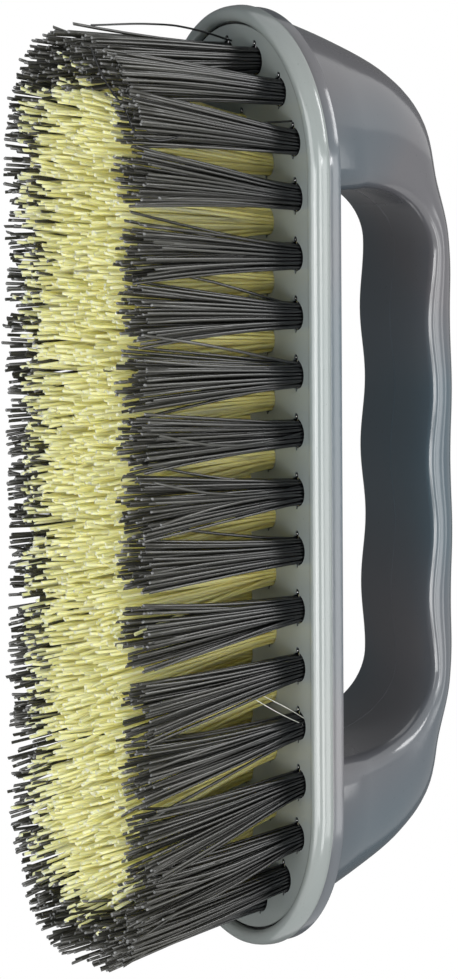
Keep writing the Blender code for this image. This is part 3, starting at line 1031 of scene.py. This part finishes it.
def add_tuft(name, strand, roots, root, tips, fan, height, settings, rng):
    """A tuft as one mesh. Each strand leaves its hole straight and fans out towards its tip."""
    shares = np.array(RING_SHARES)
    free = np.clip(shares, 0, 1)
    paths, shortfall, tones, slants = strand_paths(roots, root, tips, fan, free, settings, rng)
    heights = height - (height - shortfall[:, None]) * shares[None, :]

    count = len(roots)
    ring = strand["ring"]
    across = strand["across"]
    size = len(ring)
    at_tip = ring == len(shares) - 1
    points = np.empty((count, size, 3))
    points[:, :, :2] = paths[:, ring, :] + across[None, :, :]
    points[:, :, 2] = np.maximum(heights[:, ring] + at_tip * (slants @ across.T), 0)
    faces = [tuple(v + size * i for v in face) for i in range(count) for face in strand["faces"]]

    mesh = bpy.data.meshes.new(name)
    mesh.from_pydata(points.reshape(-1, 3).tolist(), [], faces)
    for key, domain, values in (
        ("run", "POINT", np.tile(free[ring], count)),
        ("tone", "POINT", np.repeat(tones, size)),
        ("cut_end", "FACE", np.tile(np.array(strand["tip"], float), count)),
    ):
        mesh.attributes.new(key, "FLOAT", domain).data.foreach_set("value", values)
    mesh.shade_smooth()
    mesh.set_sharp_from_angle(angle=SHARP_CUT)
    tuft = bpy.data.objects.new(name, mesh)
    bpy.context.scene.collection.objects.link(tuft)
    return tuft


def dark_filament(settings):
    return filament(
        "dark_filament", settings.dark_root, settings.dark_tip, cut_end=(0.14, 0.14, 0.136),
        darkest_tone=(0.50, 0.49, 0.46), roughness=0.27, specular=0.65,
    )


def yellow_filament(settings):
    return filament(
        "yellow_filament", settings.yellow_root, settings.yellow_tip, cut_end=(0.90, 0.87, 0.55),
        darkest_tone=(0.95, 0.94, 0.90), roughness=0.5, specular=0.25, scatter=0.7,
    )


class SCRUB_BRUSH_OT_add_dark_tufts(bpy.types.Operator):
    """Add the ring of dark tufts"""

    bl_idname = "scrub_brush.add_dark_tufts"
    bl_label = "Add Dark Tufts"

    def execute(self, context):
        settings = context.scene.brush_tufts
        block = context.scene.brush_block
        rng = np.random.default_rng(settings.seed)
        radius = settings.dark_radius
        strand = model_strand(radius)
        roots = packed_roots(settings.strand_pitch, radius, block.hole_radius)
        material = dark_filament(settings)
        nodes = nodes_named("dark_tuft_")
        far_side = max(root_of(node)[1] for node in nodes)
        for node in nodes:
            root = root_of(node)
            far = max(root[1] / far_side, 0)
            tips = tips_of(node) + (0, settings.dark_lean * far)
            fan = settings.dark_fan * (1 + settings.dark_spread * far)
            name = node.replace("dark_tuft", "dark_strands")
            tuft = add_tuft(name, strand, roots, root, tips, fan, block.face_height, settings, rng)
            finish_piece(tuft, name, material, [node])
        return {"FINISHED"}


class SCRUB_BRUSH_OT_add_yellow_tufts(bpy.types.Operator):
    """Add the three rows of yellow tufts"""

    bl_idname = "scrub_brush.add_yellow_tufts"
    bl_label = "Add Yellow Tufts"

    def execute(self, context):
        settings = context.scene.brush_tufts
        block = context.scene.brush_block
        rng = np.random.default_rng(settings.seed + 1)
        radius = settings.yellow_radius
        strand = model_strand(radius)
        roots = packed_roots(settings.strand_pitch, radius, block.hole_radius)
        material = yellow_filament(settings)
        rows = [
            (name.replace("yellow_tuft", "yellow_strands"), root_of(name), tips_of(name), name)
            for name in nodes_named("yellow_tuft_")
        ]
        rows += [
            (f"middle_strands_{i + 1:02d}", root, tips, "tuft_block")
            for i, (root, tips) in enumerate(middle_row())
        ]
        last_row = max(root[1] for _, root, _, _ in rows)
        for name, root, tips, node in rows:
            tips = tips + (0, settings.yellow_lean * (1 + root[1] / last_row) / 2)
            fan = settings.yellow_fan
            tuft = add_tuft(name, strand, roots, root, tips, fan, block.face_height, settings, rng)
            finish_piece(tuft, name, material, [node])
        return {"FINISHED"}


# Single strands that have worked loose

STRAND_RADIUS = 0.00017
THREAD_RADIUS = 0.00006
THREAD_COLOUR = (0.82, 0.82, 0.74, 1)
LOOSE_STRANDS = (
    # the points that each runs through, from the block to its tip
    (
        (-0.0706, 0.0030, 0.0312), (-0.0730, 0.0013, 0.0235), (-0.0751, -0.0045, 0.0120),
        (-0.0757, -0.0058, 0.0006),
    ),
    (
        (-0.0595, -0.0160, 0.0316), (-0.0598, -0.0180, 0.0150), (-0.0595, -0.0188, 0.0018),
        (-0.0629, -0.0162, 0.0010), (-0.0681, -0.0099, 0.0003), (-0.0723, -0.0063, 0.0002),
    ),
)
LOOSE_THREADS = (
    ((0.0379, -0.0185, 0.0319), (0.0350, -0.0190, 0.0262), (0.0321, -0.0175, 0.0218)),
    ((0.0366, -0.0185, 0.0315), (0.0345, -0.0190, 0.0280), (0.0319, -0.0170, 0.0236)),
)


def bent_strand(places, radius):
    """A tube along a smooth curve through these places, as a mesh."""
    deselect_all()
    bpy.ops.curve.primitive_bezier_curve_add()
    curve = bpy.context.object.data
    points = curve.splines[0].bezier_points
    points.add(len(places) - len(points))
    for point, place in zip(points, places):
        point.co = place
        point.handle_left_type = point.handle_right_type = "AUTO"
    curve.bevel_depth = radius
    curve.bevel_resolution = 1
    curve.use_fill_caps = True
    bpy.ops.object.convert(target="MESH")
    return settle(bpy.context.object)


class SCRUB_BRUSH_OT_add_strays(bpy.types.Operator):
    """Add the single strands and fine threads that have worked loose"""

    bl_idname = "scrub_brush.add_strays"
    bl_label = "Add Stray Strands"

    def execute(self, context):
        settings = context.scene.brush_tufts
        dark = dark_filament(settings)
        pale = new_material("pale_thread")
        pale.feed_shader(Base_Color=THREAD_COLOUR, Roughness=0.4)
        for kind, runs, radius, material, slot in (
            ("strand", LOOSE_STRANDS, STRAND_RADIUS, dark, "bristle_dark"),
            ("thread", LOOSE_THREADS, THREAD_RADIUS, pale.owner, "bristle_yellow"),
        ):
            for i, places in enumerate(runs):
                strand = bent_strand(places, radius)
                smooth(strand)
                finish_piece(strand, f"loose_{kind}_{i + 1:02d}", material)
        return {"FINISHED"}


# Stage

CAMERA_PLACE = (-0.2344332, -1.3019914, -0.7173109)
# Which way the right and the top of the picture point
CAMERA_RIGHT = (0.0069346, -0.4979493, 0.8671784)
CAMERA_UP = (-0.9878227, 0.1313805, 0.0833404)
SENSOR = 36  # millimetres
VIEW_REACH = 30
FLOOR_RADIUS = 12
FLOOR_CLEAR = 0.25  # how far off the floor begins to turn white
FLOOR_WHITE = 1.6  # and where it is all white
FLOOR_SIDES = 64
FLOOR_GREY = (0.90, 0.90, 0.90, 1)
AIM = Vector((0, 0, 0.033))
LAMP_DISTANCE = 1.7
# Most lamps that show in gloss are narrow: each draws a line of light along lip, flange or grip
LAMPS = (
    # name, degrees round from -Y towards +X, degrees up, width, height, watts, shows in gloss
    ("side_lamp", -38, 38, 1.0, 0.40, 9.5, True),
    ("rim_lamp", 12, 54, 0.30, 0.30, 0.6, True),
    ("flange_lamp", 11, 27, 1.0, 0.46, 3.9, True),
    ("edge_lamp", 12, 8, 1.6, 0.34, 7.5, True),
    ("front_lamp", 11, -41, 0.45, 1.15, 8.5, True),
    ("fill_lamp", 10, -22, 1.4, 1.0, 3.5, False),
    ("spark_lamp", -4, 16, 0.12, 0.12, 1.0, True),
    ("under_lamp", 0, -74, 1.8, 1.4, 19.0, True),
    ("top_lamp", 30, 82, 1.4, 1.4, 4.5, False),
    ("back_lamp", 150, 58, 1.4, 1.4, 9.0, False),
    ("far_lamp", -150, 58, 1.4, 1.4, 9.0, False),
)
# The cards show in gloss alone
CARDS = (
    # name, degrees round, degrees up, width, height, grey
    ("card_behind", 175, 8, 5.7, 7.4, 0.14),
    ("card_above", 78, 67, 2.7, 2.5, 0.52),
)
CARD_DISTANCE = 2.4


def stand_at(round_degrees, up_degrees, distance):
    """A place at this distance from the brush, and the turn that faces it from there."""
    around = math.radians(round_degrees)
    up = math.radians(up_degrees)
    level = math.cos(up)
    away = Vector((math.sin(around) * level, -math.cos(around) * level, math.sin(up)))
    return {"location": AIM + away * distance, "rotation": away.to_track_quat("Z", "Y").to_euler()}


def add_lamp(name, round_degrees, up_degrees, width, height, watts, in_gloss):
    deselect_all()
    bpy.ops.object.light_add(type="AREA", **stand_at(round_degrees, up_degrees, LAMP_DISTANCE))
    lamp = bpy.context.object
    lamp.name = name
    lamp.data.shape = "RECTANGLE"
    lamp.data.size = width
    lamp.data.size_y = height
    lamp.data.energy = watts
    lamp.visible_camera = False
    lamp.visible_glossy = in_gloss


def grey_card(name, round_degrees, up_degrees, width, height, grey):
    """A card that keeps the glossy edges grey against the white."""
    deselect_all()
    bpy.ops.mesh.primitive_plane_add(size=1, **stand_at(round_degrees, up_degrees, CARD_DISTANCE))
    card = bpy.context.object
    card.name = name
    card.scale = (width, height, 1)
    nodes = new_material(name)
    nodes.feed_shader(
        Base_Color=(0, 0, 0, 1), Specular_IOR_Level=0.0,
        Emission_Color=(grey, grey, grey, 1), Emission_Strength=1.0,
    )
    card.data.materials.append(nodes.owner)
    card.visible_camera = False
    card.visible_diffuse = False
    card.visible_transmission = False
    card.visible_shadow = False


def stage_floor():
    """A pale floor that only the camera sees, and only from above. Far off it turns white."""
    deselect_all()
    bpy.ops.mesh.primitive_circle_add(vertices=FLOOR_SIDES, radius=FLOOR_RADIUS, fill_type="NGON")
    floor = bpy.context.object
    floor.name = "floor"
    nodes = new_material("pale_floor")
    nodes.feed_shader(Base_Color=FLOOR_GREY, Roughness=0.9, Specular_IOR_Level=0.0)
    far = nodes.span(nodes.length(nodes.place()), 0, 1, FLOOR_CLEAR, FLOOR_WHITE)
    white = nodes.add("ShaderNodeEmission")
    shown = nodes.mix_shaders(far, nodes.shader.outputs[0], white.outputs[0])
    front = nodes.calc("SUBTRACT", 1, nodes.add("ShaderNodeNewGeometry").outputs["Backfacing"])
    camera_ray = nodes.add("ShaderNodeLightPath").outputs["Is Camera Ray"]
    clear = nodes.add("ShaderNodeBsdfTransparent")
    seen = nodes.mix_shaders(nodes.calc("MULTIPLY", front, camera_ray), clear.outputs[0], shown)
    nodes.feed(seen, nodes.tree.nodes["Material Output"].inputs["Surface"])
    floor.data.materials.append(nodes.owner)


def white_world(ambient):
    """White to the camera and in reflections, plain soft light to everything else."""
    world = bpy.data.worlds.new("studio")
    bpy.context.scene.world = world
    nodes = Nodes(world, "Background")
    rays = nodes.add("ShaderNodeLightPath").outputs
    shown = nodes.calc("MAXIMUM", rays["Is Camera Ray"], rays["Is Glossy Ray"])
    shown = nodes.calc("MAXIMUM", shown, rays["Is Transmission Ray"])
    nodes.feed_shader(Color=nodes.mix(shown, (*ambient, 1), (*WHITE, 1)))


class SCRUB_BRUSH_OT_add_stage(bpy.types.Operator):
    """Add the floor, the lamps, the white surround and the camera"""

    bl_idname = "scrub_brush.add_stage"
    bl_label = "Add Stage"

    def execute(self, context):
        settings = context.scene.brush_stage
        stage_floor()
        white_world(settings.ambient)
        for *lamp, watts, in_gloss in LAMPS:
            add_lamp(*lamp, watts * settings.lamp_share, in_gloss)
        for card in CARDS:
            grey_card(*card)

        deselect_all()
        bpy.ops.object.camera_add()
        camera = context.object
        camera.name = "camera"
        right = Vector(CAMERA_RIGHT)
        up = Vector(CAMERA_UP)
        turn = Matrix((right, up, right.cross(up))).transposed()
        camera.matrix_world = Matrix.Translation(CAMERA_PLACE) @ turn.to_4x4()
        camera.data.sensor_width = SENSOR
        camera.data.lens = settings.lens
        camera.data.clip_end = VIEW_REACH
        context.scene.camera = camera
        context.scene.view_settings.view_transform = "Standard"
        return {"FINISHED"}


class SCRUB_BRUSH_PT_panel(bpy.types.Panel):
    """Lists what can be added and the sizes that it is made to"""

    bl_idname = "SCRUB_BRUSH_PT_panel"
    bl_label = "Scrub Brush"
    bl_space_type = "VIEW_3D"
    bl_region_type = "UI"
    bl_category = "Brush"

    def draw(self, context):
        scene = context.scene
        for group, operators in GROUPS:
            box = self.layout.box()
            settings = getattr(scene, group)
            for key in settings.__annotations__:
                box.prop(settings, key)
            for operator in operators:
                box.operator(operator)


GROUPS = (
    ("brush_block", ("scrub_brush.add_block", "scrub_brush.add_anchors")),
    ("brush_handle", ("scrub_brush.add_handle",)),
    ("brush_tufts", (
        "scrub_brush.add_dark_tufts", "scrub_brush.add_yellow_tufts", "scrub_brush.add_strays",
    )),
    ("brush_stage", ("scrub_brush.add_stage",)),
)
SETTINGS = {
    "brush_block": BlockSettings,
    "brush_handle": HandleSettings,
    "brush_tufts": TuftSettings,
    "brush_stage": StageSettings,
}
CLASSES = (
    *SETTINGS.values(),
    SCRUB_BRUSH_OT_add_block,
    SCRUB_BRUSH_OT_add_anchors,
    SCRUB_BRUSH_OT_add_handle,
    SCRUB_BRUSH_OT_add_dark_tufts,
    SCRUB_BRUSH_OT_add_yellow_tufts,
    SCRUB_BRUSH_OT_add_strays,
    SCRUB_BRUSH_OT_add_stage,
    SCRUB_BRUSH_PT_panel,
)


def register():
    for cls in CLASSES:
        bpy.utils.register_class(cls)
    for name, cls in SETTINGS.items():
        setattr(bpy.types.Scene, name, PointerProperty(type=cls))


def unregister():
    for name in SETTINGS:
        delattr(bpy.types.Scene, name)
    for cls in reversed(CLASSES):
        bpy.utils.unregister_class(cls)


def main():
    register()
    bpy.ops.scrub_brush.add_block()
    bpy.ops.scrub_brush.add_anchors()
    bpy.ops.scrub_brush.add_handle()
    bpy.ops.scrub_brush.add_dark_tufts()
    bpy.ops.scrub_brush.add_yellow_tufts()
    bpy.ops.scrub_brush.add_strays()
    bpy.ops.scrub_brush.add_stage()
    deselect_all()


if __name__ == "__main__":
    main()
